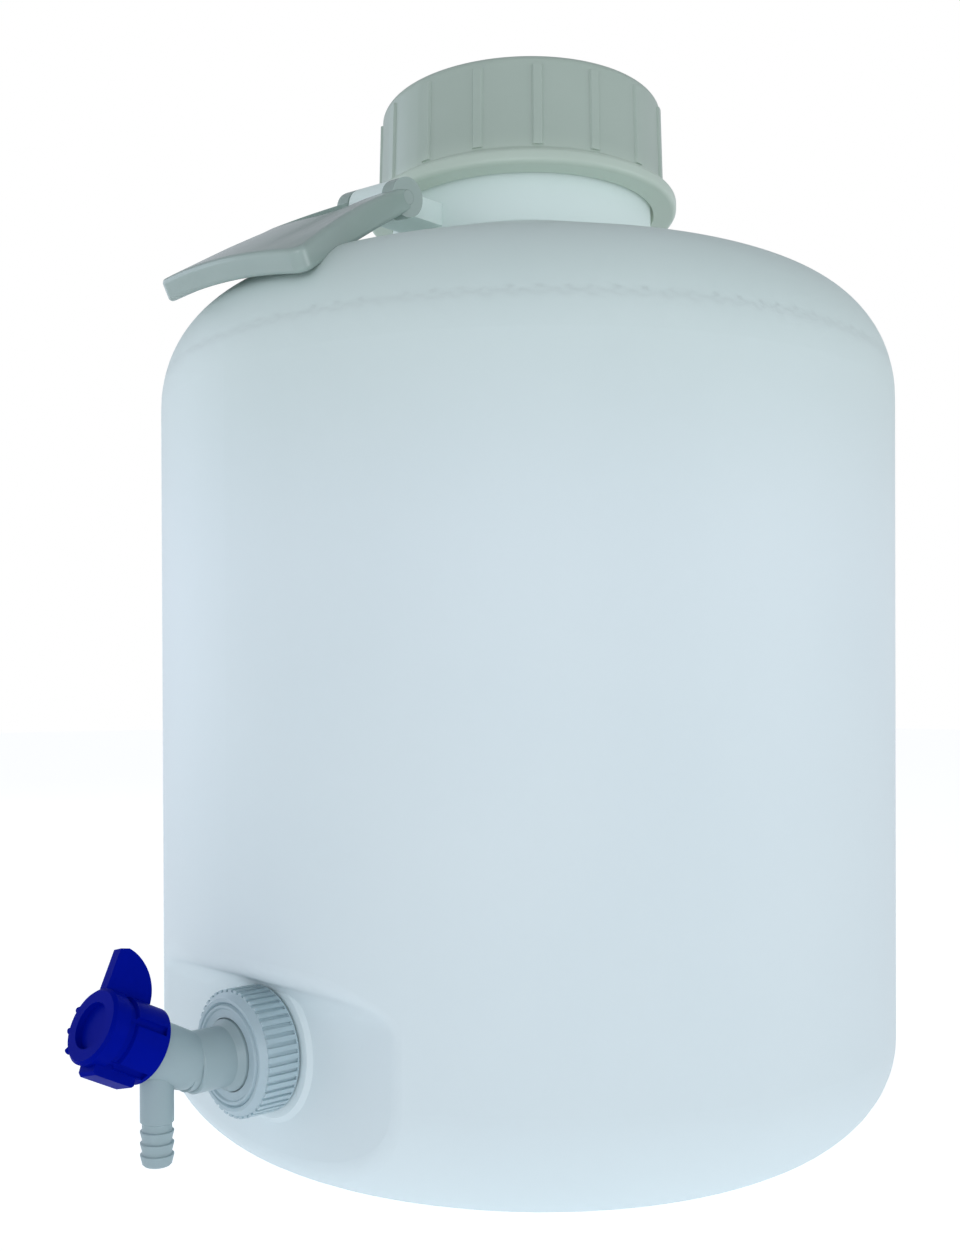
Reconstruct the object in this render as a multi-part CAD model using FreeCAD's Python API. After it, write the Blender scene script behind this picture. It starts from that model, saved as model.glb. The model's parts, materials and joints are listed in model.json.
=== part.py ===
import FreeCAD, Part
import math
import os

# Ten-litre wide-mouth bottle with a tap, a screw cap and a folding carry handle.
# Millimetres. The origin is the centre of the base, on the surface that the bottle stands on.
# +Z is up and the tap points along -Y. Pieces on the tap's side are modelled with their
# outward direction along +X and are then turned to face -Y by turn_to_front().

# ---------------------------------------------------------------- driving dimensions: bottle
body_radius = 115.0             # outside of the straight wall
wall = 2.2                      # wall of the blown body
base_corner_reach = 40.0        # how far the base corner reaches in from the side
base_corner_height = 34.4       # height of the base corner
shoulder_height = 225.4         # top of the straight wall
shoulder_reach = 28.9           # horizontal half axis of the shoulder's ellipse
shoulder_rise = 33.4            # vertical half axis of the shoulder's ellipse
shoulder_cone_rise = 51.6       # from there up to the foot of the neck
neck_foot_height = shoulder_height + shoulder_cone_rise
neck_radius = 41.6              # outside of the neck
neck_wall = 2.8
neck_length = 43.4              # from its foot to the rim of the mouth
neck_top = neck_foot_height + neck_length
neck_root = 6.0                 # the neck's wall runs this far into the shoulder

# Flat panel that the tap is fitted to
panel_depth = 13.2              # how deep the flat lies inside the round wall
panel_distance = body_radius - panel_depth
panel_margin = 0.2              # the flat's top edge lies this far above the nut
panel_ledge = 5.0               # extra height over which the wall comes back out
panel_fillet = 7.0              # softening of the panel's edges

# Moulded port for the tap
port_height = 40.6              # height of the tap's axis
port_radius = 13.2              # outside of the port's collar
port_bore = 9.5                 # radius of the hole through it
port_length = 8.6               # how far it stands out of the panel
port_edge = 0.6                 # bevel on the port's rim
boss_margin = 3.4               # how far the round pad reaches past the nut
boss_height = 1.0

# Lug on the neck that carries the handle
lug_width = 15.0
tongue_inset = 0.9              # the tongue is this much narrower than the knuckle, on each side
lug_thickness = 6.6
knuckle_radius = 5.6            # round end of the lug
hinge_rise = 4.8                # height of the hinge pin over the foot of the neck
hinge_reach = 10.6              # from the cap's band out to the hinge pin
hinge_lean = 6.0                # degrees that the hinge dips towards +X
pin_radius = 2.0
pin_clearance = 0.06
tongue_width = lug_width - 2 * tongue_inset     # between the neck and the knuckle

# ---------------------------------------------------------------- driving dimensions: cap
cap_plate = 4.0                 # top plate of the cap, on the rim of the mouth
cap_height = 33.8
cap_thread_gap = 1.0            # room for the thread between neck and cap
cap_wall = 3.0                  # side wall of the cap at its foot
cap_taper = 0.9                 # how much narrower the wall is at the top
cap_edge = 2.4                  # rounded top edge
cap_rib_count = 16
cap_rib_start = 4.9             # degrees from the tap's side to the first rib
cap_rib_width = 2.4
cap_rib_spread = 0.7            # how much wider each rib is at its root, on each side
cap_rib_root = 0.6              # depth that the ribs reach into the wall
cap_rib_height = 1.5
cap_rib_lift = 7.0              # lower end of the ribs, over the cap's foot
cap_rib_top_gap = 3.4           # ribs stop this far under the top
flange_reach = 4.1              # how far the band at the foot stands out of the wall
flange_height = 4.6
flange_edge = 1.5
flange_blend = 1.9              # sloping step from the band up to the wall
cap_top = neck_top + cap_plate
flange_foot = cap_top - cap_height
cap_rib_foot = flange_foot + cap_rib_lift
cap_skirt_radius = neck_radius + cap_thread_gap + cap_wall      # between the ribs, at the foot
flange_radius = cap_skirt_radius + flange_reach
hinge_height = neck_foot_height + hinge_rise
hinge_distance = flange_radius + hinge_reach    # from the bottle's axis to the hinge pin

# ---------------------------------------------------------------- driving dimensions: tap
seal_thickness = 1.4
nut_clearance = 0.3             # between the nut's bore and the port
nut_back_gap = 0.4              # between the nut and the boss
nut_wall = 3.7                  # from the bore to the top of the knurl
nut_groove_depth = 0.7
nut_radius = port_radius + nut_clearance + nut_wall     # over the knurl
nut_root = nut_radius - nut_groove_depth        # bottom of the knurl's grooves
boss_radius = nut_radius + boss_margin          # low round pad around the port
panel_top = port_height + nut_radius + panel_margin     # top edge of the flat
nut_groove_count = 44
nut_groove_width = 1.1
nut_knurl_length = 10.2
nut_collar_length = 1.5         # plain chamfered ring in front of the knurl
nut_face_inset = 2.9            # stepped face's outer edge, inside the grooves
nut_face_radius = nut_root - nut_face_inset
nut_step_depth = 0.7
nut_step_width = 1.5
nut_edge = 0.5                  # slant of the ring's outer edge
nut_inner_edge = 0.4            # and of its inner edge
nut_knurl_start = 1.0           # the grooves start this far from the nut's back
nut_web = 1.2                   # least thickness of the front web that holds the tap's flange
nut_bevel = 0.7
nut_ring_rise = 0.3             # stepped face's ring, in front of the nut's face
nut_ring_fall = 0.2             # and the face inside it, behind
tap_flange_thickness = 2.0
tap_flange_clearance = 0.3      # between the tap's tail and the nut's bore
tap_flange_inset = 0.3          # the flange is this much smaller than the port
tap_edge = 0.5                  # bevels on the tap's turned edges
elbow_bevel = 0.4               # and on the elbow's back
tail_bore = 4.6                 # water way through the tail
tail_wall = 3.5
tail_radius = tail_bore + tail_wall             # tube between the nut and the barrel
tail_root_step = 1.5            # cone at the tail's root, in front of the nut
tail_root_radius = tail_radius + tail_root_step
tail_root_length = 3.4
tail_root_flat = 1.6            # the straight part of that cone's foot
tail_length = 15.4              # from the seal to the waist
waist_depth = 1.0
waist_radius = tail_radius - waist_depth
waist_length = 1.3
barrel_lean = 27.0              # degrees that the valve's axis rises above level
barrel_wall = 2.4
barrel_mouth = 11.3             # from the elbow point to the barrel's open end
elbow_reach = 2.0               # from the waist's back to the elbow point
elbow_rise = 1.3                # elbow point above the tail's axis
plug_radius = 5.0               # turning plug inside the barrel
plug_clearance = 0.3
plug_length = 16.0
plug_way = 2.2                  # radius of the water way in the plug
barrel_radius = plug_radius + plug_clearance + barrel_wall
tail_end = panel_distance + port_length + seal_thickness + tail_length
elbow_distance = tail_end + elbow_reach         # elbow point, from the bottle's axis

# Spout with a hose barb
spout_reach = 7.4               # from the elbow point to the spout's axis
spout_drop = 24.4               # from the tap's axis to the spout's lower end
spout_bore = 1.95
spout_side = 2.4                # wall of the spout over its ridges
spout_wall = 1.4                # the spout starts this far under the plug
barb_depth = 0.5                # from the ridges down to the tube
spout_distance = elbow_distance + spout_reach
spout_tip = port_height - spout_drop
spout_radius = spout_bore + spout_side
barb_root = spout_radius - barb_depth
barb_start = 10.9               # from the tip to where the tube steps in
barb_ridge_heights = (8.9, 5.9, 2.9)
barb_ridge_fall = 2.2           # length of the cone below each ridge

# Knob
knob_gap = 0.4                  # between the barrel's mouth and the knob
knob_length = 17.6
knob_overhang = 2.3             # how far the knob's skirt stands out over the barrel
knob_skirt_radius = barrel_radius + knob_overhang
knob_skirt_length = 10.6
knob_flute_angles = (76.0, 152.0)   # grip flutes, each way round from the wing
knob_flute_width = 2.4
knob_flute_depth = 1.3
knob_valley_width = 1.6         # groove between the skirt and the front drum
knob_valley_depth = 1.1
knob_drum_step = 0.2            # the drum is this much smaller than the skirt
knob_rim = 4.2                  # width of the drum's rim around the recess
knob_valley_radius = knob_skirt_radius - knob_valley_depth
knob_drum_radius = knob_skirt_radius - knob_drum_step
knob_recess_radius = knob_drum_radius - knob_rim
knob_recess_depth = 1.6
knob_edge = 0.8
wing_reach = 11.6               # how far the wing stands out of the skirt
wing_tip = knob_skirt_radius + wing_reach
wing_foot_length = 14.0         # length of the wing along the knob
wing_tip_length = 4.0
wing_thickness = 3.0
wing_setback = 0.6              # behind the knob's front face
wing_root_depth = 2.0           # depth that both wings reach into the knob
wing_lean = -16.0               # turn of the wing about the axis at rest
stub_rise = 1.8                 # short wing on the other side
stub_reach = knob_skirt_radius + stub_rise
stub_thickness = 6.4
stub_setback = 2.2              # behind the knob's front face
mark_count = 3                  # small pips on the drum's rim
mark_radius = 0.9
mark_length = 2.2
mark_setback = 1.4              # behind the knob's front face
mark_root = 1.2                 # depth that each pip reaches into the drum
mark_start = 60.0               # degrees from the wing to the first pip
mark_pitch = 30.0               # degrees between pips

# ---------------------------------------------------------------- driving dimensions: handle
handle_thickness = 6.3
handle_length = 61.0            # from the hinge pin to the outer edge of the grip
handle_dip = 3.1454             # degrees that the handle hangs steeper than the shoulder's cone
handle_droop = 2.4              # the grip's two ends lie this far below its middle
grip_half_width = 34.2
grip_corner = 3.4
grip_depth = 29.0               # width of the grip bar
ear_gap = 0.35                  # between each ear and the lug
ear_thickness = 5.0
ear_radius = 5.6
arm_bend_radius = 12.0          # where each arm leaves its ear
arm_width = 16.7                # of each arm where it meets the grip
opening_grip_half = grip_half_width - arm_width        # half width of the finger opening
opening_corner = 6.0
handle_edge = 1.3               # rounding of the handle's outer edges


def turn_to_front(shape):
    """Turns a piece modelled along +X so that it faces -Y."""
    turned = shape.copy()
    turned.rotate(FreeCAD.Vector(0, 0, 0), FreeCAD.Vector(0, 0, 1), -90)
    return turned


def vec(x, y, z):
    return FreeCAD.Vector(x, y, z)


def revolve_up(edges):
    """Turns a closed profile in the XZ plane about the bottle's axis."""
    face = Part.Face(Part.Wire(edges))
    return face.revolve(vec(0, 0, 0), vec(0, 0, 1), 360)


def polygon_edges(points):
    """Straight edges through the points, closed back to the first."""
    closed = list(points) + [points[0]]
    return [Part.makeLine(a, b) for a, b in zip(closed, closed[1:])]


def turned_on_x(points):
    """Solid turned about the X axis from (distance, radius) points."""
    corners = [vec(x, 0, r) for x, r in points]
    face = Part.Face(Part.Wire(polygon_edges(corners)))
    return face.revolve(vec(0, 0, 0), vec(1, 0, 0), 360)


def ellipse_arc(centre, half_x, half_z, start, end):
    """Arc of an upright ellipse in the XZ plane, between two angles in degrees."""
    def at(angle):
        a = math.radians(angle)
        return vec(centre.x + half_x * math.cos(a), 0, centre.z + half_z * math.sin(a))
    if half_x >= half_z:
        ellipse = Part.Ellipse(at(0), at(90), centre)
    else:
        ellipse = Part.Ellipse(at(90), at(0), centre)
    first = ellipse.parameter(at(start))
    last = ellipse.parameter(at(end))
    middle = ellipse.parameter(at(0.5 * (start + end)))
    low, high = min(first, last), max(first, last)
    if not low < middle < high:
        low, high = high, low + 2 * math.pi
    return Part.Edge(ellipse.toShape(low, high)), at(start), at(end)


def tangent_angle(inset):
    """Angle on the shoulder's ellipse where the cone from the neck's foot touches it."""
    half_x = shoulder_reach - inset
    half_z = shoulder_rise - inset
    centre_x = body_radius - shoulder_reach
    foot_x = neck_radius - inset
    foot_z = neck_foot_height - inset
    low, high = 30.0, 90.0
    for _ in range(60):
        angle = math.radians(0.5 * (low + high))
        normal = vec(math.cos(angle) / half_x, 0, math.sin(angle) / half_z)
        touch = vec(centre_x + half_x * math.cos(angle), 0, shoulder_height + half_z * math.sin(angle))
        side = (vec(foot_x, 0, foot_z) - touch).dot(normal)
        if side > 0:
            low = 0.5 * (low + high)
        else:
            high = 0.5 * (low + high)
    return 0.5 * (low + high)


def shoulder_fall():
    """Degrees that the shoulder's cone falls below level."""
    angle = math.radians(tangent_angle(0.0))
    run = body_radius - shoulder_reach + shoulder_reach * math.cos(angle) - neck_radius
    drop = neck_foot_height - shoulder_height - shoulder_rise * math.sin(angle)
    return math.degrees(math.atan2(drop, run))


def body_form(inset):
    """The bottle below the neck's foot as a filled solid, smaller by inset all over."""
    touch = tangent_angle(inset)
    corner_centre = vec(body_radius - base_corner_reach, 0, base_corner_height)
    shoulder_centre = vec(body_radius - shoulder_reach, 0, shoulder_height)
    corner, corner_low, corner_high = ellipse_arc(
        corner_centre, base_corner_reach - inset, base_corner_height - inset, -90, 0)
    shoulder, shoulder_low, shoulder_high = ellipse_arc(
        shoulder_centre, shoulder_reach - inset, shoulder_rise - inset, 0, touch)
    foot = vec(neck_radius - inset, 0, neck_foot_height - inset)
    top = vec(0, 0, foot.z)
    bottom = vec(0, 0, inset)
    edges = [
        Part.makeLine(bottom, corner_low),
        corner,
        Part.makeLine(corner_high, shoulder_low),
        shoulder,
        Part.makeLine(shoulder_high, foot),
        Part.makeLine(foot, top),
        Part.makeLine(top, bottom),
    ]
    return revolve_up(edges)


def panel_cutter(inset):
    """What is taken off the round body to leave the flat panel and its sloping ledge."""
    flat = panel_distance - inset
    outside = body_radius + 30.0
    rise = panel_ledge * (outside - flat) / (body_radius - flat)
    profile = [
        vec(flat, 0, -10.0),
        vec(outside, 0, -10.0),
        vec(outside, 0, panel_top + rise),
        vec(flat, 0, panel_top),
    ]
    face = Part.Face(Part.Wire(polygon_edges(profile)))
    block = face.extrude(vec(0, 4 * body_radius, 0))
    block.translate(vec(0, -2 * body_radius, 0))
    return block


def with_panel(form, inset):
    """The body form with the flat panel cut and its edges softened."""
    cut = form.cut(panel_cutter(inset))
    flat = panel_distance - inset
    soft = []
    for edge in cut.Edges:
        middle = edge.valueAt(0.5 * (edge.FirstParameter + edge.LastParameter))
        on_flat = abs(middle.x - flat) < 0.01 and edge.BoundBox.XLength < 0.01
        above = middle.z > panel_top - 1.0 and edge.BoundBox.ZMax < panel_top + 2 * body_radius / 5
        on_ledge = middle.x > flat and edge.BoundBox.XLength > 0.5 and above
        if on_flat or on_ledge:
            soft.append(edge)
    return cut.makeFillet(panel_fillet - inset, soft)


def bottle():
    """Blown bottle with its neck, flat tap panel, moulded port and handle lug."""
    outside = with_panel(body_form(0.0), 0.0)
    inside = with_panel(body_form(wall), wall)
    neck_low = neck_foot_height - neck_root
    neck = Part.makeCylinder(neck_radius, neck_top - neck_low, vec(0, 0, neck_low))
    mouth_low = neck_foot_height - 2 * neck_root
    mouth = Part.makeCylinder(neck_radius - neck_wall, neck_top - mouth_low + 1.0, vec(0, 0, mouth_low))
    boss_front = panel_distance + boss_height
    boss = turned_on_x([
        (panel_distance - 0.5 * wall, 0),
        (panel_distance - 0.5 * wall, boss_radius),
        (panel_distance, boss_radius),
        (boss_front, boss_radius - 1.5 * boss_height),
        (boss_front, 0),
    ])
    port_face = panel_distance + port_length
    port = turned_on_x([
        (panel_distance - 0.5 * wall, 0),
        (panel_distance - 0.5 * wall, port_radius),
        (port_face - port_edge, port_radius),
        (port_face, port_radius - port_edge),
        (port_face, 0),
    ])
    bore = turned_on_x([
        (panel_distance - 3 * wall, 0),
        (panel_distance - 3 * wall, port_bore),
        (port_face + 1.0, port_bore),
        (port_face + 1.0, 0),
    ])
    for piece in (boss, port, bore):
        piece.translate(vec(0, 0, port_height))
    shell = outside.fuse([neck, boss, port, lug()]).cut([inside, mouth, bore])
    return shell.removeSplitter()


def bar_on_y(radius, half_length):
    """Round bar along the Y axis, centred on the origin."""
    return Part.makeCylinder(radius, 2 * half_length, vec(0, -half_length, 0), vec(0, 1, 0))


def hinge_frame(shape):
    """Places a piece modelled about the Y axis on the handle's leaning hinge."""
    placed = shape.copy()
    placed.rotate(vec(0, 0, 0), vec(1, 0, 0), -hinge_lean)
    placed.translate(vec(hinge_distance, 0, hinge_height))
    return placed


def lug():
    """Tongue that stands out of the neck and ends in the hinge knuckle."""
    low = hinge_height - 0.5 * lug_thickness
    tongue = Part.makeBox(hinge_distance - neck_radius + neck_wall, tongue_width, lug_thickness)
    tongue.translate(vec(neck_radius - neck_wall, -0.5 * tongue_width, low))
    knuckle = hinge_frame(bar_on_y(knuckle_radius, 0.5 * lug_width))
    hole = hinge_frame(bar_on_y(pin_radius, lug_width))
    return tongue.fuse(knuckle).cut(hole)


def hinge_pin():
    """Plain pin through the lug and both ears, flush with the ears."""
    half = 0.5 * lug_width + ear_gap + ear_thickness
    return hinge_frame(bar_on_y(pin_radius, half))


def cap_wall_radius(height):
    """Outside of the cap's wall between the ribs at a height."""
    share = (height - flange_foot) / (cap_top - flange_foot)
    return cap_skirt_radius - cap_taper * share


def cap_rib():
    """One grip rib, wider at its root than at its crest."""
    sections = []
    for height in (cap_rib_foot, cap_top - cap_rib_top_gap):
        root = cap_wall_radius(height) - cap_rib_root
        crest = cap_wall_radius(height) + cap_rib_height
        half_root = 0.5 * cap_rib_width + cap_rib_spread
        half_crest = 0.5 * cap_rib_width
        sections.append(Part.Wire(polygon_edges([
            vec(root, -half_root, height),
            vec(crest, -half_crest, height),
            vec(crest, half_crest, height),
            vec(root, half_root, height),
        ])))
    return Part.makeLoft(sections, True, True)


def screw_cap():
    """Ribbed cap with a wide band at its foot, hollow below its top plate."""
    band_top = flange_foot + flange_height
    step_top = band_top + flange_blend
    top_radius = cap_wall_radius(cap_top)
    inner = neck_radius + cap_thread_gap
    edge_centre = vec(top_radius - cap_edge, 0, cap_top - cap_edge)
    slant = math.sqrt(0.5)
    low_edge = vec(flange_radius - flange_edge, 0, flange_foot + flange_edge)
    high_edge = vec(flange_radius - flange_edge, 0, band_top - flange_edge)
    edges = [
        Part.makeLine(vec(0, 0, neck_top), vec(inner, 0, neck_top)),
        Part.makeLine(vec(inner, 0, neck_top), vec(inner, 0, flange_foot)),
        Part.makeLine(vec(inner, 0, flange_foot), vec(low_edge.x, 0, flange_foot)),
        Part.Arc(vec(low_edge.x, 0, flange_foot),
                 low_edge + vec(flange_edge * slant, 0, -flange_edge * slant),
                 vec(flange_radius, 0, low_edge.z)).toShape(),
        Part.makeLine(vec(flange_radius, 0, low_edge.z), vec(flange_radius, 0, high_edge.z)),
        Part.Arc(vec(flange_radius, 0, high_edge.z),
                 high_edge + vec(flange_edge * slant, 0, flange_edge * slant),
                 vec(high_edge.x, 0, band_top)).toShape(),
        Part.makeLine(vec(high_edge.x, 0, band_top), vec(cap_wall_radius(step_top), 0, step_top)),
        Part.makeLine(vec(cap_wall_radius(step_top), 0, step_top), vec(top_radius, 0, edge_centre.z)),
        Part.Arc(vec(top_radius, 0, edge_centre.z),
                 edge_centre + vec(cap_edge * slant, 0, cap_edge * slant),
                 vec(edge_centre.x, 0, cap_top)).toShape(),
        Part.makeLine(vec(edge_centre.x, 0, cap_top), vec(0, 0, cap_top)),
        Part.makeLine(vec(0, 0, cap_top), vec(0, 0, neck_top)),
    ]
    ribs = []
    for number in range(cap_rib_count):
        rib = cap_rib()
        angle = cap_rib_start + 360.0 * number / cap_rib_count
        rib.rotate(vec(0, 0, 0), vec(0, 0, 1), angle)
        ribs.append(rib)
    return revolve_up(edges).fuse(ribs).removeSplitter()


def port_seal():
    """Flat ring between the port and the tap's flange."""
    back = panel_distance + port_length
    seal = turned_on_x([
        (back, port_bore),
        (back, port_radius - port_edge),
        (back + seal_thickness, port_radius - port_edge),
        (back + seal_thickness, port_bore),
    ])
    seal.translate(vec(0, 0, port_height))
    return seal


def tap_flange_back():
    return panel_distance + port_length + seal_thickness


def union_nut():
    """Knurled nut that holds the tap's flange against the port."""
    back = panel_distance + boss_height + nut_back_gap
    knurl_end = back + nut_knurl_length
    web_back = tap_flange_back() + tap_flange_thickness
    face = max(knurl_end + nut_collar_length, web_back + nut_web)
    cavity = port_radius + nut_clearance
    bore = tail_root_radius + tap_flange_clearance
    groove_out = nut_face_radius + nut_edge
    ridge_in = nut_face_radius - nut_step_width
    body = turned_on_x([
        (back, cavity),
        (back, nut_radius - nut_bevel),
        (back + nut_bevel, nut_radius),
        (knurl_end, nut_radius),
        (knurl_end, nut_root),
        (face, nut_root - nut_collar_length),
        (face, groove_out),
        (face - nut_step_depth, nut_face_radius),
        (face + nut_ring_rise, nut_face_radius - nut_edge),
        (face + nut_ring_rise, ridge_in + nut_inner_edge),
        (face - nut_ring_fall, ridge_in),
        (face - nut_ring_fall, bore),
        (web_back, bore),
        (web_back, cavity),
    ])
    cutters = []
    for number in range(nut_groove_count):
        depth = nut_radius - nut_root
        cutter = Part.makeBox(nut_knurl_length - nut_knurl_start, nut_groove_width, 2 * depth)
        cutter.translate(vec(back + nut_knurl_start, -0.5 * nut_groove_width, nut_root))
        cutter.rotate(vec(0, 0, 0), vec(1, 0, 0), 360.0 * number / nut_groove_count)
        cutters.append(cutter)
    nut = body.cut(cutters)
    nut.translate(vec(0, 0, port_height))
    return nut


def valve_frame(shape):
    """Places a piece modelled along +X on the leaning valve axis."""
    placed = shape.copy()
    placed.rotate(vec(0, 0, 0), vec(0, 1, 0), -barrel_lean)
    placed.translate(vec(elbow_distance, 0, port_height + elbow_rise))
    return placed


def spout_profile():
    """Outside of the spout from its tip up to the barrel, as (height, radius)."""
    points = [(0, spout_bore), (0, barb_root - tap_edge), (tap_edge, barb_root)]
    for height in reversed(barb_ridge_heights):
        points.append((height - barb_ridge_fall, barb_root))
        points.append((height - 0.5 * tap_edge, spout_radius))
        points.append((height, spout_radius))
        points.append((height + 0.5 * tap_edge, barb_root))
    points.append((barb_start, barb_root))
    points.append((barb_start + elbow_bevel, spout_radius))
    return points


def tap_body():
    """Tail, elbow, valve barrel and barbed spout, moulded in one piece."""
    back = tap_flange_back()
    front = back + tap_flange_thickness
    root_end = front + tail_root_length
    waist_end = tail_end + waist_length
    tail = turned_on_x([
        (back, 0),
        (back, port_radius - tap_flange_inset),
        (front, port_radius - tap_flange_inset),
        (front, tail_root_radius),
        (front + tail_root_flat, tail_root_radius),
        (root_end, tail_radius),
        (tail_end - tap_edge, tail_radius),
        (tail_end, tail_radius - tap_edge),
        (tail_end, waist_radius),
        (waist_end, waist_radius),
        (elbow_distance, waist_radius),
        (elbow_distance, 0),
    ])
    tail.translate(vec(0, 0, port_height))
    elbow_neck = turned_on_x([
        (waist_end, 0),
        (waist_end, barrel_radius - elbow_bevel),
        (waist_end + elbow_bevel, barrel_radius),
        (elbow_distance, barrel_radius),
        (elbow_distance, 0),
    ])
    elbow_neck.translate(vec(0, 0, port_height + elbow_rise))
    barrel = valve_frame(Part.makeCylinder(barrel_radius, barrel_mouth, vec(0, 0, 0), vec(1, 0, 0)))
    elbow = Part.makeSphere(barrel_radius)
    elbow.translate(vec(elbow_distance, 0, port_height + elbow_rise))
    axis_height = port_height + elbow_rise
    axis_height += (spout_distance - elbow_distance) * math.tan(math.radians(barrel_lean))
    corners = [vec(radius, 0, spout_tip + height) for height, radius in spout_profile()]
    spout_root = axis_height - plug_radius - spout_wall
    corners.append(vec(spout_radius, 0, spout_root))
    corners.append(vec(spout_bore, 0, spout_root))
    spout = revolve_up(polygon_edges(corners))
    spout.translate(vec(spout_distance, 0, 0))
    spout_way = Part.makeCylinder(spout_bore, axis_height - spout_tip, vec(spout_distance, 0, spout_tip))
    chamber = Part.makeCylinder(
        plug_radius + plug_clearance, plug_length + plug_clearance, vec(0, 0, 0), vec(1, 0, 0))
    chamber.translate(vec(barrel_mouth - plug_length - plug_clearance, 0, 0))
    water_way = Part.makeCylinder(
        tail_bore, elbow_distance - back, vec(back, 0, port_height), vec(1, 0, 0))
    solid = tail.fuse([elbow_neck, barrel, elbow, spout])
    return solid.cut([valve_frame(chamber), water_way, spout_way]).removeSplitter()


def wing_outline(reach):
    """Profile of the wing in the knob's own XZ plane, from the axis outwards."""
    base = knob_length - wing_foot_length - wing_setback
    front = knob_length - wing_setback
    crest = front - wing_tip_length
    low = knob_valley_radius - wing_root_depth
    start = vec(base, 0, knob_skirt_radius - knob_edge)
    top = vec(crest, 0, reach)
    bulge = vec(base + 0.22 * (crest - base), 0, knob_skirt_radius + 0.62 * (reach - knob_skirt_radius))
    corner = vec(front - 1.4, 0, reach - 0.9)
    return [
        Part.makeLine(vec(base, 0, low), start),
        Part.Arc(start, bulge, top).toShape(),
        Part.makeLine(top, corner),
        Part.makeLine(corner, vec(front, 0, low)),
        Part.makeLine(vec(front, 0, low), vec(base, 0, low)),
    ]


def plate(edges, thickness):
    """Flat plate of the given thickness about the XZ plane."""
    face = Part.Face(Part.Wire(edges))
    solid = face.extrude(vec(0, thickness, 0))
    solid.translate(vec(0, -0.5 * thickness, 0))
    return solid


def tap_knob():
    """Winged knob with its turning plug, moulded in one piece."""
    valley_end = knob_skirt_length + knob_valley_width
    grip = turned_on_x([
        (0, 0),
        (0, knob_skirt_radius - 0.4),
        (0.4, knob_skirt_radius),
        (knob_skirt_length - 0.5, knob_skirt_radius - 0.2),
        (knob_skirt_length, knob_valley_radius),
        (valley_end, knob_valley_radius),
        (valley_end + 0.5, knob_drum_radius),
        (knob_length - knob_edge, knob_drum_radius),
        (knob_length, knob_drum_radius - knob_edge),
        (knob_length, knob_recess_radius + 0.4),
        (knob_length - knob_recess_depth, knob_recess_radius),
        (knob_length - knob_recess_depth, 0),
    ])
    flutes = []
    for angle in knob_flute_angles:
        for side in (-1, 1):
            flute = Part.makeCylinder(0.5 * knob_flute_width, knob_skirt_length, vec(1.4, 0, 0), vec(1, 0, 0))
            flute.translate(vec(0, 0, knob_skirt_radius - knob_flute_depth + 0.5 * knob_flute_width))
            flute.rotate(vec(0, 0, 0), vec(1, 0, 0), side * angle)
            flutes.append(flute)
    wing = plate(wing_outline(wing_tip), wing_thickness)
    stub_low = knob_valley_radius - wing_root_depth
    stub_base = knob_length - wing_foot_length - wing_setback
    stub = plate(polygon_edges([
        vec(stub_base, 0, -stub_low),
        vec(stub_base, 0, -stub_reach + tap_edge),
        vec(stub_base + tap_edge, 0, -stub_reach),
        vec(knob_length - stub_setback - knob_edge, 0, -stub_reach),
        vec(knob_length - stub_setback, 0, -stub_reach + knob_edge),
        vec(knob_length - stub_setback, 0, -stub_low),
    ]), stub_thickness)
    marks = []
    for number in range(mark_count):
        mark = Part.makeCylinder(mark_radius, mark_length, vec(0, 0, 0), vec(0, 0, 1))
        mark.translate(vec(knob_length - mark_setback, 0, knob_drum_radius - mark_root))
        mark.rotate(vec(0, 0, 0), vec(1, 0, 0), mark_start + mark_pitch * number)
        marks.append(mark)
    solid = grip.cut(flutes).fuse([wing, stub] + marks)
    solid.translate(vec(barrel_mouth + knob_gap, 0, 0))
    plug = Part.makeCylinder(plug_radius, plug_length + knob_gap + 0.5, vec(0, 0, 0), vec(1, 0, 0))
    plug.translate(vec(barrel_mouth - plug_length, 0, 0))
    spout_station = (spout_distance - elbow_distance) / math.cos(math.radians(barrel_lean))
    way_in = Part.makeCylinder(
        plug_way, spout_station - barrel_mouth + plug_length, vec(0, 0, 0), vec(1, 0, 0))
    way_in.translate(vec(barrel_mouth - plug_length, 0, 0))
    way_out = Part.makeCylinder(plug_way, plug_radius + 1.0, vec(spout_station, 0, 0), vec(0, -1, 0))
    solid = solid.fuse(plug)
    solid.rotate(vec(0, 0, 0), vec(1, 0, 0), -wing_lean)
    return valve_frame(solid.cut([way_in, way_out]))


def handle_strip():
    """Band along +X from the hinge to the grip's outer edge, arched across its width."""
    half = 0.5 * handle_thickness
    middle_radius = grip_half_width ** 2 / (2 * handle_droop) + 0.5 * handle_droop
    sweep = 1.5 * math.degrees(math.asin(grip_half_width / middle_radius))

    def at(radius, degrees):
        angle = math.radians(degrees)
        return vec(0, radius * math.sin(angle), radius * math.cos(angle) - middle_radius)

    outer = middle_radius + half
    inner = middle_radius - half
    edges = [
        Part.Arc(at(outer, -sweep), at(outer, 0), at(outer, sweep)).toShape(),
        Part.makeLine(at(outer, sweep), at(inner, sweep)),
        Part.Arc(at(inner, sweep), at(inner, 0), at(inner, -sweep)).toShape(),
        Part.makeLine(at(inner, -sweep), at(outer, -sweep)),
    ]
    face = Part.Face(Part.Wire(edges))
    return face.extrude(vec(handle_length, 0, 0))


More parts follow.
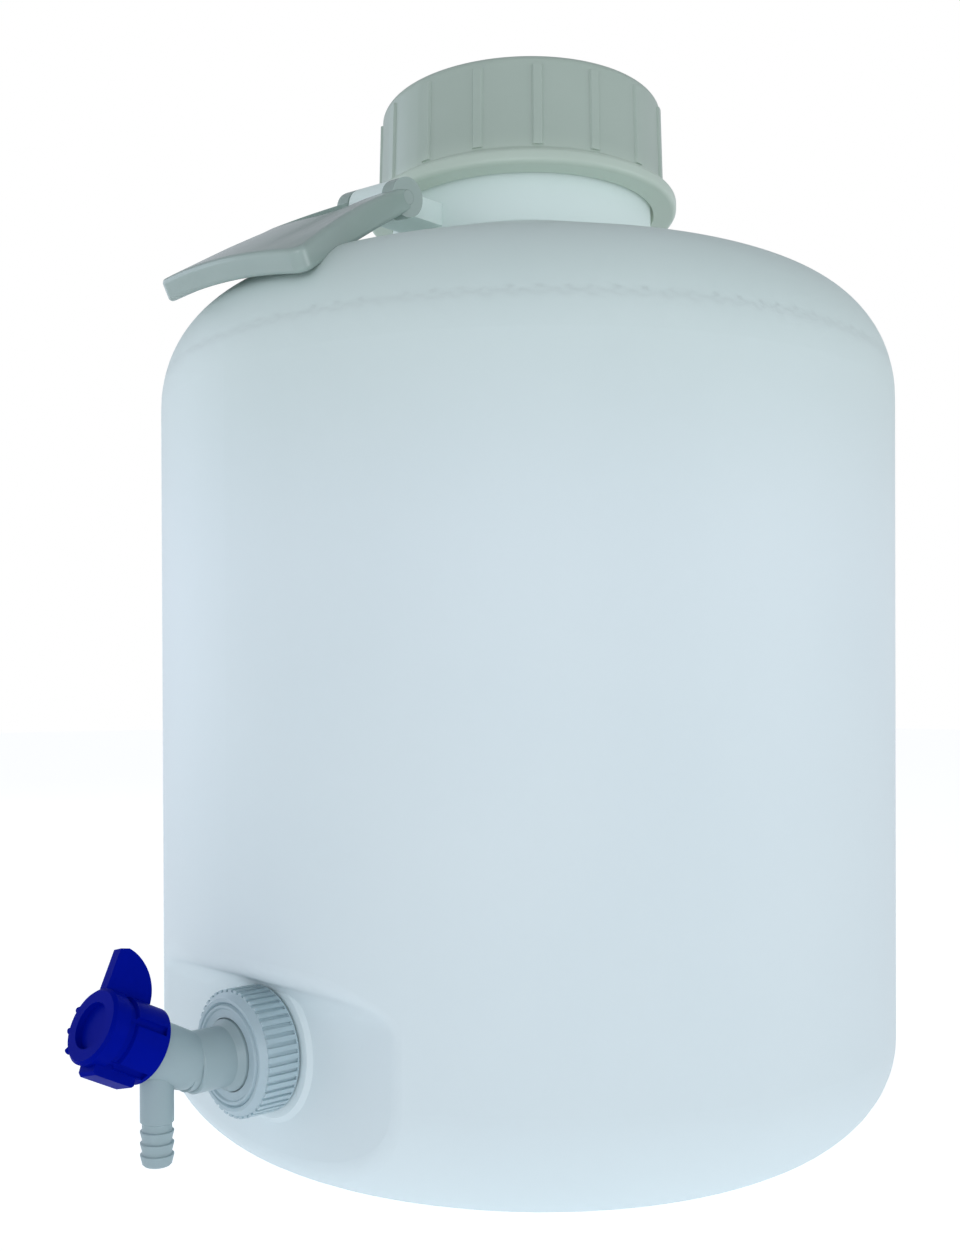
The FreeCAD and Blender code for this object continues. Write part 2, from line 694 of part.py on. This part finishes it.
def rounded_prism(points, radii, low, high):
    """Upright prism over a polygon of (x, y) corners with a rounding radius for each."""
    count = len(points)
    edges = []
    starts = []
    ends = []
    arcs = []
    for i in range(count):
        here = vec(points[i][0], points[i][1], low)
        before = vec(points[i - 1][0], points[i - 1][1], low) - here
        after = vec(points[(i + 1) % count][0], points[(i + 1) % count][1], low) - here
        before.normalize()
        after.normalize()
        half_angle = 0.5 * before.getAngle(after)
        if radii[i] == 0:
            starts.append(here)
            ends.append(here)
            arcs.append(None)
            continue
        run = radii[i] / math.tan(half_angle)
        bisector = before + after
        bisector.normalize()
        centre = here + bisector * (radii[i] / math.sin(half_angle))
        starts.append(here + before * run)
        ends.append(here + after * run)
        arcs.append(centre - bisector * radii[i])
    for i in range(count):
        if arcs[i] is not None:
            edges.append(Part.Arc(starts[i], arcs[i], ends[i]).toShape())
        edges.append(Part.makeLine(ends[i], starts[(i + 1) % count]))
    face = Part.Face(Part.Wire(edges))
    return face.extrude(vec(0, 0, high - low))


def carry_handle():
    """Arched loop whose two arms end in ears beside the lug."""
    inner_ear = 0.5 * lug_width + ear_gap
    outer_ear = inner_ear + ear_thickness
    back = -2 * ear_radius
    beyond = 2 * back
    low, high = -handle_length, handle_length
    outline = rounded_prism([
        (back, -outer_ear),
        (0.0, -outer_ear),
        (handle_length, -grip_half_width),
        (handle_length, grip_half_width),
        (0.0, outer_ear),
        (back, outer_ear),
    ], [0, arm_bend_radius, grip_corner, grip_corner, arm_bend_radius, 0], low, high)
    grip_inner = handle_length - grip_depth
    opening = rounded_prism([
        (beyond, -inner_ear),
        (ear_radius, -inner_ear),
        (grip_inner, -opening_grip_half),
        (grip_inner, opening_grip_half),
        (ear_radius, inner_ear),
        (beyond, inner_ear),
    ], [0, arm_bend_radius, opening_corner, opening_corner, arm_bend_radius, 0], low, high)
    loop = handle_strip().common(outline)
    rim = [edge for edge in loop.Edges if edge.BoundBox.XMin > -0.01 and edge.BoundBox.XMax > 0.01
           and not (edge.BoundBox.ZLength > 0.8 * handle_thickness and edge.BoundBox.XLength < 0.01)]
    loop = loop.makeFillet(handle_edge, rim)
    loop = loop.fuse(bar_on_y(ear_radius, outer_ear)).cut(opening)
    loop = loop.cut(bar_on_y(pin_radius + pin_clearance, 2 * outer_ear)).removeSplitter()
    loop.rotate(vec(0, 0, 0), vec(0, 1, 0), shoulder_fall() + handle_dip)
    return hinge_frame(loop)


PIECES = {
    "bottle": bottle,
    "screw_cap": screw_cap,
    "carry_handle": carry_handle,
    "hinge_pin": hinge_pin,
    "port_seal": port_seal,
    "union_nut": union_nut,
    "tap_body": tap_body,
    "tap_knob": tap_knob,
}

os.makedirs("parts", exist_ok=True)
for name, make in PIECES.items():
    piece = turn_to_front(make())
    piece.exportStep("parts/" + name + ".step")
    box = piece.BoundBox
    print(name, len(piece.Solids), "solid", piece.isValid(), round(piece.Volume / 1000, 2), "cm3",
          [round(v, 1) for v in (box.XMin, box.XMax, box.YMin, box.YMax, box.ZMin, box.ZMax)])
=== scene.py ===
# %% [markdown]
# # A ten-litre spigot bottle, dressed for a studio picture
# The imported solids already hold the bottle, its cap, handle and tap. This lesson loads them, gives
# each plastic a finish of its own, adds three forms that the solids leave out, and lights the whole
# on a pale table. Everything is in metres, with +Z up and the tap along -Y.

# %% The frame and its solids
import bpy
import json
import math
from mathutils import Matrix, Vector


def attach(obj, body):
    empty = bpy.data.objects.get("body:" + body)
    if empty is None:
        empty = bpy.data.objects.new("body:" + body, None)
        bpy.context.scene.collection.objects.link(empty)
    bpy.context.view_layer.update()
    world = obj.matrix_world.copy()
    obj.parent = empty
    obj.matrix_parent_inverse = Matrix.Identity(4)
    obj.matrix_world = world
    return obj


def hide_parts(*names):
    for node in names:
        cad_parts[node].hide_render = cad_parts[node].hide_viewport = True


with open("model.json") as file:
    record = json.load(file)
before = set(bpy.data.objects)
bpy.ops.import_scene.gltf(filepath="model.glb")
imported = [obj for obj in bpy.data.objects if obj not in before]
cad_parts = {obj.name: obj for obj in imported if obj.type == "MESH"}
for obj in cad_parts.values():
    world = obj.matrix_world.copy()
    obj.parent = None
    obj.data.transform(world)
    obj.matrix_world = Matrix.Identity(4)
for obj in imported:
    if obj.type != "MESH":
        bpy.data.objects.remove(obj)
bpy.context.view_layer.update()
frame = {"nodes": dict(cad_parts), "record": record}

nodes = frame["nodes"]
print("CAD nodes:", sorted(nodes))

# %% [markdown]
# ## Colours and nodes
# A colour picked on a screen is an sRGB hex value, but a shader works with linear light, so one
# function turns the first into the second. A second function adds a node with its settings and its
# links in one call, which keeps each material short enough to read.

# %% Millimetres, linear colours and one way to add a node
MM = 0.001


def linear(hex_colour, alpha=1.0):
    """Linear RGBA of an sRGB hex colour such as "d4e3eb"."""
    out = []
    for place in (0, 2, 4):
        value = int(hex_colour[place:place + 2], 16) / 255
        out.append(value / 12.92 if value <= 0.04045 else ((value + 0.055) / 1.055) ** 2.4)
    return (*out, alpha)


def add_node(tree, kind, settings=None, links=None):
    """Adds a node, sets attributes or input values, and links inputs, by name or by place."""
    node = tree.nodes.new(kind)
    for name, value in (settings or {}).items():
        if isinstance(name, str) and hasattr(node, name):
            setattr(node, name, value)
        else:
            node.inputs[name].default_value = value
    for name, source in (links or {}).items():
        tree.links.new(source, node.inputs[name])
    return node


def new_material(name):
    """An empty node material and its tree."""
    material = bpy.data.materials.new(name)
    material.use_nodes = True
    material.node_tree.nodes.clear()
    return material, material.node_tree


print("white is", linear("ffffff"), "and mid grey is", round(linear("808080")[0], 3))

# %% [markdown]
# ## What the plastics have in common
# Every piece but the seal is polyethylene or polypropylene. Neither is ever one flat tone: the melt
# clouds faintly as it cools, and the tool leaves a fine grain. One noise mixes two close colours at
# the cloud's size, and a finer one lifts the surface. A volume inside real walls would be the
# truest way to make milky plastic, but it is slow and noisy, so part of the light goes through
# subsurface scatter instead, over the few millimetres that light creeps in such a wall.
#
# Four short functions share the work: one for the clouds, two for the painted shade and painted glow
# that change with height, and one that puts a plastic together.

# %% The cloudy colour
COLOUR_A, COLOUR_B, COLOUR_OUT = 6, 7, 2    # places of the colour sockets on a Mix node


def cloudy_colour(tree, place, colour, deep, cloud_mm):
    """A socket with a colour that drifts between two close tones over cloud_mm."""
    cloud = add_node(tree, "ShaderNodeTexNoise", {"Scale": 1.0 / (cloud_mm * MM), "Detail": 2.0},
                     {"Vector": place.outputs["Object"]})
    tone = add_node(tree, "ShaderNodeMix",
                    {"data_type": "RGBA", COLOUR_A: linear(colour), COLOUR_B: linear(deep)},
                    {"Factor": cloud.outputs["Fac"]})
    return tone.outputs[COLOUR_OUT]


print("a cloud of 18 mm is a noise scale of", round(1.0 / (18.0 * MM), 1))

# %% [markdown]
# ## Painted shade and glow by height
# A wall gets darker where less light reaches its back, and brighter where it is thin. Both are
# light and shade painted into the surface. An image could be painted for that, but both changes
# follow the height alone, so the height of each point picks how much painted shade, or painted
# glow, it gets.

# %% A painted shade and a painted glow by height
def add_painted_shade(tree, base, height, start, end, shade_colour):
    """The base colour with a painted shade, darkened more and more by the given colour from height start to
    height end in mm.
    """
    amount = add_node(tree, "ShaderNodeMapRange",
                      {"interpolation_type": "SMOOTHSTEP", "From Min": start * MM, "From Max": end * MM},
                      {"Value": height})
    # Painted shade: the colour is multiplied down by height.
    shade = add_node(tree, "ShaderNodeMix",
                     {"data_type": "RGBA", "blend_type": "MULTIPLY", COLOUR_B: linear(shade_colour)},
                     {"Factor": amount.outputs["Result"], COLOUR_A: base})
    return shade.outputs[COLOUR_OUT]


def add_painted_glow(tree, shader, height, colour, low, high, at_low, at_high):
    """A painted glow: lets the shader glow in its own colour, at_low up to height low and at_high from
    high.
    """
    strength = add_node(tree, "ShaderNodeMapRange",
                        {"interpolation_type": "SMOOTHSTEP", "From Min": low * MM, "From Max": high * MM,
                         "To Min": at_low, "To Max": at_high},
                        {"Value": height})
    # Painted glow: emission in the surface's own colour.
    shader.inputs["Emission Color"].default_value = linear(colour)
    tree.links.new(strength.outputs["Result"], shader.inputs["Emission Strength"])


print("tint and glow read heights in mm, so 250 is", 250 * MM, "m")

# %% [markdown]
# ## One maker for every plastic
# The pieces differ in tone, polish and depth, not in kind, so one function builds them all and the
# cells below only say how each one differs. The surface gets the faint orange-peel that moulded
# faces have, about a millimetre from crest to crest and a few thousandths deep.

# %% A moulded plastic
GRAIN_MM = 1.2          # size of the orange-peel
GRAIN_DEPTH_MM = 0.1    # its full depth, of which the strength below leaves a little
GRAIN_STRENGTH = 0.02


def moulded_plastic(name, colour, deep, rough, ior, scatter=0.0, scatter_mm=3.0, cloud_mm=18.0,
                    gleam=0.5, glow=None, painted_shade=None):
    """Plastic with faint clouds, a fine grain and scatter.

    The painted shade takes (height, height, colour) and glow (height, height, strength, strength), in mm.
    """
    material, tree = new_material(name)
    place = add_node(tree, "ShaderNodeTexCoord")
    height = add_node(tree, "ShaderNodeSeparateXYZ", None, {"Vector": place.outputs["Object"]}).outputs["Z"]
    base = cloudy_colour(tree, place, colour, deep, cloud_mm)
    # Painted shade by height, when asked for.
    if painted_shade:
        base = add_painted_shade(tree, base, height, *painted_shade)
    grain = add_node(tree, "ShaderNodeTexNoise", {"Scale": 1.0 / (GRAIN_MM * MM), "Detail": 1.0},
                     {"Vector": place.outputs["Object"]})
    relief = add_node(tree, "ShaderNodeBump",
                      {"Strength": GRAIN_STRENGTH, "Distance": GRAIN_DEPTH_MM * MM},
                      {"Height": grain.outputs["Fac"]})
    shader = add_node(tree, "ShaderNodeBsdfPrincipled", {
        "Roughness": rough,
        "IOR": ior,
        "Subsurface Weight": scatter,
        "Subsurface Radius": (1.0, 1.0, 1.0),
        "Subsurface Scale": scatter_mm * MM,
        "Specular IOR Level": gleam,
    }, {"Base Color": base, "Normal": relief.outputs["Normal"]})
    # Painted glow by height, when asked for.
    if glow:
        add_painted_glow(tree, shader, height, colour, *glow)
    add_node(tree, "ShaderNodeOutputMaterial", None, {"Surface": shader.outputs["BSDF"]})
    return material


POLYETHYLENE = 1.54         # index of refraction
POLYPROPYLENE = 1.49
RUBBER = 1.52
print("polyethylene sends back", round(((POLYETHYLENE - 1) / (POLYETHYLENE + 1)) ** 2 * 100, 1),
      "percent of the light that meets it straight on")

# %% [markdown]
# ## Dressing a solid
# The pieces could be modelled again for their looks, but their forms are right as they are. So a
# solid keeps its own mesh and only gets a new material in its slots.

# %% A way to dress solids
def dress(material, *names):
    """Gives solids a material in place of the one they came with."""
    for name in names:
        data = nodes[name].data
        data.materials.clear()
        data.materials.append(material)
        print(name, "->", material.name, "on", len(data.polygons), "faces")


# %% [markdown]
# ## Blown polyethylene: the bottle
# The bottle is natural high-density polyethylene, blown against a mould. The blown face is satin
# with no fine edge, and its pale blue-white comes from light that wanders inside the wall. A quarter
# of scatter over 4 mm softens each shadow as the real wall does. Real transmission through two walls
# could give the same, but it renders slowly and with grain. Towards the shoulder an empty bottle
# passes less light from the table, and that shade is painted in: the colour turns a little darker and
# greener there. Round the neck a faint painted glow stands for the light that comes through from behind.

# %% The bottle's plastic
# Painted shade darkens the shoulder, and a painted glow lights the neck.
blown = moulded_plastic("blown_polyethylene", "e4f0f1", "dfecee", 0.48, POLYETHYLENE,
                        scatter=0.25, scatter_mm=4.0, cloud_mm=60.0,
                        glow=(262.0, 285.0, 0.0, 0.09), painted_shade=(165.0, 250.0, "edf0ea"))
dress(blown, "bottle")

# %% [markdown]
# ## Moulded polyethylene: the cap
# The cap is thicker and injection moulded, so it is greyer, smoother and less clear than the body.
# Only the band below its ribs is thin enough to let some light through, and a painted glow there
# stands in for that light. It could share the bottle's plastic, but then cap and shoulder would run
# into one pale form.

# %% The cap's plastic
# A painted glow lights the band under the ribs.
cap_white = moulded_plastic("cap_polyethylene", "afbdb2", "a8b7ab", 0.34, POLYETHYLENE,
                            scatter=0.2, scatter_mm=3.0, glow=(291.0, 302.0, 0.20, 0.0))
dress(cap_white, "screw_cap")

# %% [markdown]
# ## Polished polypropylene: the handle and its pin
# The handle comes out of a polished tool. It is the glossiest piece, a cool grey-green with narrow
# bright streaks along its edges, so its roughness is low and its gleam is raised. A clear coat over
# a duller base would look alike, but the real piece is one moulding, and one smooth layer says so.

# %% The handle's plastic
grip_grey = moulded_plastic("handle_polypropylene", "a0b1aa", "96a8a1", 0.18, POLYPROPYLENE,
                            scatter=0.15, gleam=0.8)
dress(grip_grey, "carry_handle", "hinge_pin")

# %% [markdown]
# ## Natural polypropylene: the nut and the tap
# Both are moulded without pigment. The knurled nut catches light on every flute, and that light is
# painted in as a paler tone. The spout and its elbow have thicker walls round dark bores, and that
# shade is painted in as a tone a step deeper. One plastic would do for both if light went through
# them, but a surface finish can't see a wall's thickness, so each gets its own painted tone.

# %% The tap's plastics
# One plastic in two tones: painted light on the nut, painted shade on the spout.
nut_painted_light = moulded_plastic("nut_polypropylene_painted_light", "b9ccd2", "b0c4ca", 0.36, POLYPROPYLENE,
                            scatter=0.2, scatter_mm=2.0)
spout_painted_shade = moulded_plastic("spout_polypropylene_painted_shade", "a3b6b9", "9cafb2", 0.36, POLYPROPYLENE,
                              scatter=0.2, scatter_mm=2.0)
dress(nut_painted_light, "union_nut")
dress(spout_painted_shade, "tap_body")

# %% [markdown]
# ## Rubber and blue polypropylene: the seal and the knob
# The seal is plain grey rubber, dull and dense. The knob is polypropylene with a strong blue
# pigment. The pigment takes nearly all the light, so there is no scatter. The gleam could stay at
# its usual level, but a white studio mirrored in it would turn the blue pale, so it is very small.

# %% The seal's and the knob's finish
rubber = moulded_plastic("seal_rubber", "b4bab8", "aab0ae", 0.6, RUBBER)
blue = moulded_plastic("blue_polypropylene", "001298", "000f8a", 0.34, POLYPROPYLENE,
                       cloud_mm=8.0, gleam=0.012)
dress(rubber, "port_seal")
dress(blue, "tap_knob")

# %% [markdown]
# ## A fuller shoulder
# On the real bottle the mould rounds the shoulder in one sweep: a quarter ellipse rises from the
# straight wall, and a shallow cone that just touches it climbs to the neck. The solid's cone falls
# short of that touch, so a thin skin is turned over it here. The bottle's own mesh could be bent
# instead, but a lathe in mesh code gives exactly the two curves and an even shading. The skin's low
# edge dips just under the wall, so no lip shows where the two meet.

# %% Sizes of the shoulder, in mm
BODY_RADIUS = 115.0
SHOULDER_BASE = 225.4               # top of the straight wall
SHOULDER_REACH = 28.9               # half axes of the shoulder's ellipse
SHOULDER_RISE = 33.4
NECK_RADIUS = 41.6
NECK_FOOT = 277.0
SKIN_START = math.radians(2.0)      # the skin's low edge, just inside the solid's wall
SKIN_CLEAR = math.radians(28.0)     # from here up it stands clear of the solid
SKIN_SUNK = -0.10                   # how far it stands off the solid at those two angles
SKIN_STAND = 0.06
print("the shoulder rises", round(NECK_FOOT - SHOULDER_BASE, 1), "mm over",
      round(BODY_RADIUS - NECK_RADIUS, 1), "mm")

# %% [markdown]
# ## Where the ellipse hands over to the cone
# The two curves meet without a kink at one point only, where the ellipse points straight at the
# neck's foot. It could be solved on paper, but halving an angle fifty times finds it just as well
# and still holds when a size changes.

# %% The shoulder's curve
def eased(share):
    """A share from 0 to 1 with a level start and a level end."""
    return share * share * (3 - 2 * share)


def ellipse_point(angle):
    """Radius and height of the skin where it follows the shoulder's ellipse, in mm."""
    share = min(1.0, (angle - SKIN_START) / (SKIN_CLEAR - SKIN_START))
    stand = SKIN_SUNK + (SKIN_STAND - SKIN_SUNK) * eased(share)
    centre = BODY_RADIUS - SHOULDER_REACH
    return (centre + (SHOULDER_REACH + stand) * math.cos(angle),
            SHOULDER_BASE + (SHOULDER_RISE + stand) * math.sin(angle))


def touch_angle():
    """Angle where a line from the neck's foot only touches the ellipse, by halving."""
    low, high = 0.5, math.pi / 2
    for _ in range(50):
        angle = (low + high) / 2
        radius, height = ellipse_point(angle)
        tangent = SHOULDER_RISE * math.cos(angle) / (SHOULDER_REACH * math.sin(angle))
        if tangent * (radius - NECK_RADIUS) > NECK_FOOT - height:
            low = angle
        else:
            high = angle
    return angle


def shoulder_curve(arc_steps=64, cone_steps=12):
    """Points from the skin's sunken low edge up to the neck's foot."""
    sweep = touch_angle() - SKIN_START
    points = [ellipse_point(SKIN_START + sweep * step / arc_steps) for step in range(arc_steps + 1)]
    top_radius, top_height = points[-1]
    for step in range(1, cone_steps + 1):
        part = step / cone_steps
        points.append((top_radius + (NECK_RADIUS - top_radius) * part,
                       top_height + (NECK_FOOT - top_height) * part))
    return points


print("the cone touches the ellipse at", round(math.degrees(touch_angle()), 1), "degrees")


# %% [markdown]
# ## Turning the skin
# A Screw modifier could turn the curve too. A few lines that place each ring of points give the same
# surface, and they show how such a mesh is built: rings of points first, then a face between each
# four neighbours.

# %% The skin, turned on a lathe
def lathe(name, profile, around=192):
    """A surface of revolution about Z through (radius, height) points in mm, bottom first."""
    corners = []
    for radius, height in profile:
        for step in range(around):
            turn = 2 * math.pi * step / around
            corners.append((radius * math.cos(turn) * MM, radius * math.sin(turn) * MM, height * MM))
    faces = []
    for ring in range(len(profile) - 1):
        for step in range(around):
            after = (step + 1) % around
            faces.append((ring * around + step, ring * around + after,
                          (ring + 1) * around + after, (ring + 1) * around + step))
    shape = bpy.data.meshes.new(name)
    shape.from_pydata(corners, [], faces)
    shape.shade_smooth()
    piece = bpy.data.objects.new(name, shape)
    bpy.context.scene.collection.objects.link(piece)
    return piece


shoulder = lathe("shoulder_skin", shoulder_curve())
shoulder.data.materials.append(blown)
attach(shoulder, "bottle_body")
print("shoulder skin:", len(shoulder.data.polygons), "faces")

# %% [markdown]
# ## The cap's soft ribs
# The real cap's ribs are so low that they read as faint lines between broad facets. The cap is the
# solid's own form, taken over point by point, with each rib let down towards the tapered skirt. A
# new cap could be drawn instead, but this keeps the measured band, lip and rounding as they are.

# %% A piece that takes over a solid's form
def reshaped(name, node, move):
    """A new piece with the form of a solid, each of its points passed through move."""
    shape = nodes[node].data.copy()
    for corner in shape.vertices:
        corner.co = move(corner.co)
    piece = bpy.data.objects.new(name, shape)
    bpy.context.scene.collection.objects.link(piece)
    return piece


print("forms that can be taken over:", len(nodes))

# %% [markdown]
# ## Letting the ribs down
# Between the ribs the skirt is a straight cone. A point that stands further out than the cone is on
# a rib, and it is drawn in until less than half of its height is left. Points inside the cap stay.

# %% The cap with its ribs let down
SKIRT_FOOT = (297.1, 45.4)      # height and radius of the skirt between the ribs, in mm
SKIRT_TOP = (321.0, 44.7)
RIB_LEFT = 0.45                 # share of the solid's rib height that is left
BAND_TOP = 295.6                # the band under the ribs stays as it is


def lowered(point):
    """A point of the cap in metres, with what stands proud of the skirt let down."""
    radius = math.hypot(point.x, point.y)
    height = point.z / MM
    share = (height - SKIRT_FOOT[0]) / (SKIRT_TOP[0] - SKIRT_FOOT[0])
    skirt = (SKIRT_FOOT[1] + (SKIRT_TOP[1] - SKIRT_FOOT[1]) * share) * MM
    if height < BAND_TOP or radius <= skirt:
        return point
    scale = (skirt + (radius - skirt) * RIB_LEFT) / radius
    return Vector((point.x * scale, point.y * scale, point.z))


soft_cap = reshaped("soft_ribbed_cap", "screw_cap", lowered)
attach(soft_cap, "bottle_body")
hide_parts("screw_cap")
print("cap with low ribs:", len(soft_cap.data.polygons), "faces")

# %% [markdown]
# ## The handle's crown
# The moulded grip swells in the middle of its length, for the hand. The loop could be swept anew
# along a curve, but then its eyes would have to be fitted to the pin again. So it is the solid's own
# form, taken over point by point. Only its upper side is raised, because the lower one has no room:
# the resting handle's near corner already dips about 2 mm into the shoulder's skin.

# %% The handle with its upper side raised
hinge = next(joint for joint in frame["record"]["behaviour"]["joints"] if joint["name"] == "handle_fold")
HINGE_PLACE = Vector(hinge["pos_m"])
HANDLE_FALL = math.radians(29.8)    # how steeply the resting handle hangs
HANDLE_LENGTH = 62.0
HALF_THICK = 3.15
LEAN = math.tan(math.radians(6.0))  # the hinge line dips towards +X
CROWN = 1.5                         # most that the upper side rises, in mm
outward = Vector((0.0, -math.cos(HANDLE_FALL), -math.sin(HANDLE_FALL)))
upward = Vector((0.0, -math.sin(HANDLE_FALL), math.cos(HANDLE_FALL)))


def crowned(point):
    """A point of the handle in metres, raised if it lies on the upper side of the band."""
    arm = point - HINGE_PLACE
    along = arm.dot(outward) / MM
    if along <= 0.0:
        return point
    middle = -LEAN * point.x / MM
    share = (arm.dot(upward) / MM - middle + HALF_THICK) / (2 * HALF_THICK)
    share = min(1.0, max(0.0, share))
    swell = math.sin(math.pi * min(1.0, along / HANDLE_LENGTH))
    return point + upward * (CROWN * MM * swell * eased(share))


grip = reshaped("crowned_handle", "carry_handle", crowned)
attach(grip, "handle")
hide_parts("carry_handle")
print("crowned handle:", len(grip.data.polygons), "faces")

# %% [markdown]
# ## The pale table
# The bottle stands on a white table that keeps its soft shadow. To the camera the table glows just
# enough to run into the white behind it. To every other ray it is a lit sheet, and that light from
# below is what makes the lower half of the bottle bright and blue. Lamps under a glass table could
# do this too, but they would wash out the shadow.

# %% The floor's finish
FLOOR_WHITE = 0.86
FLOOR_SEEN = 0.62       # glow that the camera sees
FLOOR_LIGHT = 0.38      # glow that shines up at the bottle
WHITE = (1.0, 1.0, 1.0, 1.0)
floor_look, tree = new_material("pale_floor")
matt = add_node(tree, "ShaderNodeBsdfDiffuse", {"Color": (FLOOR_WHITE, FLOOR_WHITE, FLOOR_WHITE, 1.0)})
shown = add_node(tree, "ShaderNodeEmission", {"Color": WHITE, "Strength": FLOOR_SEEN})
under = add_node(tree, "ShaderNodeEmission", {"Color": linear("f2f6ff"), "Strength": FLOOR_LIGHT})
shown_floor = add_node(tree, "ShaderNodeAddShader", None, {0: matt.outputs[0], 1: shown.outputs[0]})
lit_floor = add_node(tree, "ShaderNodeAddShader", None, {0: matt.outputs[0], 1: under.outputs[0]})
ray = add_node(tree, "ShaderNodeLightPath")
pick = add_node(tree, "ShaderNodeMixShader", None,
                {"Fac": ray.outputs["Is Camera Ray"], 1: lit_floor.outputs[0], 2: shown_floor.outputs[0]})
add_node(tree, "ShaderNodeOutputMaterial", None, {"Surface": pick.outputs[0]})
print("floor finish:", len(tree.nodes), "nodes")

# %% [markdown]
# ## The table's sheet
# One square is enough, as long as its edges are far outside the picture. A curved sweep is what a
# real studio would use, but a white backdrop makes it needless here.

# %% The floor
FLOOR_HALF = 6.0        # metres
floor_shape = bpy.data.meshes.new("floor")
floor_shape.from_pydata([(-FLOOR_HALF, -FLOOR_HALF, 0), (FLOOR_HALF, -FLOOR_HALF, 0),
                         (FLOOR_HALF, FLOOR_HALF, 0), (-FLOOR_HALF, FLOOR_HALF, 0)], [], [(0, 1, 2, 3)])
floor_shape.materials.append(floor_look)
floor = bpy.data.objects.new("floor", floor_shape)
bpy.context.scene.collection.objects.link(floor)
print("floor:", 2 * FLOOR_HALF, "m square")

# %% [markdown]
# ## The backdrop
# Behind the bottle everything is white to the camera. For the light itself the backdrop is bright
# near the table and dim overhead, as in a tent lit from the sides, so the shoulder and the cap come
# out darker than the wall below them. More lamps could do the same, but each would add its own
# highlight, and a tent has none.

# %% White to the eye, graded for the light
SKY_LOW = 0.98          # strength of the backdrop's light near the floor
SKY_HIGH = 0.36         # and overhead
SKY_TURN = 0.7          # steepness at which a ray counts as overhead: 0 is level, 1 straight up
world = bpy.data.worlds.new("studio")
bpy.context.scene.world = world
world.use_nodes = True
tree = world.node_tree
tree.nodes.clear()
way = add_node(tree, "ShaderNodeTexCoord")
axes = add_node(tree, "ShaderNodeSeparateXYZ", None, {"Vector": way.outputs["Generated"]})
level = add_node(tree, "ShaderNodeMapRange",
                 {"From Min": 0.0, "From Max": SKY_TURN, "To Min": SKY_LOW, "To Max": SKY_HIGH},
                 {"Value": axes.outputs["Z"]})
ambient = add_node(tree, "ShaderNodeBackground", {"Color": linear("f2f7ff")},
                   {"Strength": level.outputs["Result"]})
plain = add_node(tree, "ShaderNodeBackground", {"Color": WHITE, "Strength": 1.0})
ray = add_node(tree, "ShaderNodeLightPath")
either = add_node(tree, "ShaderNodeMath", {"operation": "MAXIMUM"},
                  {0: ray.outputs["Is Camera Ray"], 1: ray.outputs["Is Transmission Ray"]})
pick = add_node(tree, "ShaderNodeMixShader", None,
                {"Fac": either.outputs[0], 1: ambient.outputs[0], 2: plain.outputs[0]})
add_node(tree, "ShaderNodeOutputWorld", None, {"Surface": pick.outputs[0]})
print("backdrop from", SKY_LOW, "at the floor to", SKY_HIGH, "overhead")

# %% [markdown]
# ## The camera
# The camera stands close, a little under half the bottle's height and between the tap's side and
# the bottle's right side, so the shoulder is seen from below and the tap reaches out to the left. A
# longer lens from farther off would flatten that. The lens is shifted up, where the camera could be
# tilted instead, because a shift keeps the wall upright, as a product camera does.

# %% The camera's place and lens
CAMERA_PLACE = Vector((0.3022, -0.3169, 0.1346))
CAMERA_TURN = math.radians(47.4)
CAMERA_PITCH = -0.0064          # radians
CAMERA_ROLL = 0.0037
LENS_MM = 38.57
SENSOR_MM = 36.0
SHIFT = (0.0364, 0.0695)
NEAREST, FARTHEST = 0.01, 50.0

camera_data = bpy.data.cameras.new("camera")
camera_data.lens = LENS_MM
camera_data.sensor_width = SENSOR_MM
camera_data.shift_x, camera_data.shift_y = SHIFT
camera_data.clip_start = NEAREST
camera_data.clip_end = FARTHEST
camera = bpy.data.objects.new("camera", camera_data)
camera.matrix_world = (Matrix.Translation(CAMERA_PLACE)
                       @ Matrix.Rotation(CAMERA_TURN, 4, "Z")
                       @ Matrix.Rotation(math.radians(90) + CAMERA_PITCH, 4, "X")
                       @ Matrix.Rotation(-CAMERA_ROLL, 4, "Z"))
bpy.context.scene.collection.objects.link(camera)
bpy.context.scene.camera = camera
bpy.context.scene.view_settings.view_transform = "Standard"
print("camera", round(math.hypot(CAMERA_PLACE.x, CAMERA_PLACE.y), 3), "m from the bottle's axis")

# %% [markdown]
# ## Soft lamps
# Three large soft boxes only shape the wall a little: a cool one to the left beyond the tap, a low
# one behind the right side, and a wider and stronger one in front. Small hard lamps would draw
# streaks on the wall, and this light has none. Angles are measured round the bottle from -Y, positive
# towards +X.

# %% The soft boxes
AIM_HEIGHT = 0.16


def soft_lamp(name, angle, distance, height, width, tall, watts, colour):
    """A rectangular soft box that faces the bottle's axis."""
    data = bpy.data.lights.new(name, "AREA")
    data.shape = "RECTANGLE"
    data.size = width
    data.size_y = tall
    data.energy = watts
    data.color = linear(colour)[:3]
    lamp = bpy.data.objects.new(name, data)
    turn = math.radians(angle)
    lamp.location = (distance * math.sin(turn), -distance * math.cos(turn), height)
    facing = Vector((0, 0, AIM_HEIGHT)) - Vector(lamp.location)
    lamp.rotation_mode = "QUATERNION"
    lamp.rotation_quaternion = facing.to_track_quat("-Z", "Y")
    bpy.context.scene.collection.objects.link(lamp)
    return lamp


soft_lamp("left_soft", -70.0, 1.5, 0.35, 1.0, 1.4, 4.5, "dfeaff")
soft_lamp("right_soft", 115.0, 1.6, 0.10, 1.2, 0.9, 4.5, "f6fbff")
soft_lamp("front_soft", 40.0, 1.9, 0.10, 1.8, 0.8, 9.0, "f4f8ff")
print(len(bpy.data.lights), "soft boxes placed")
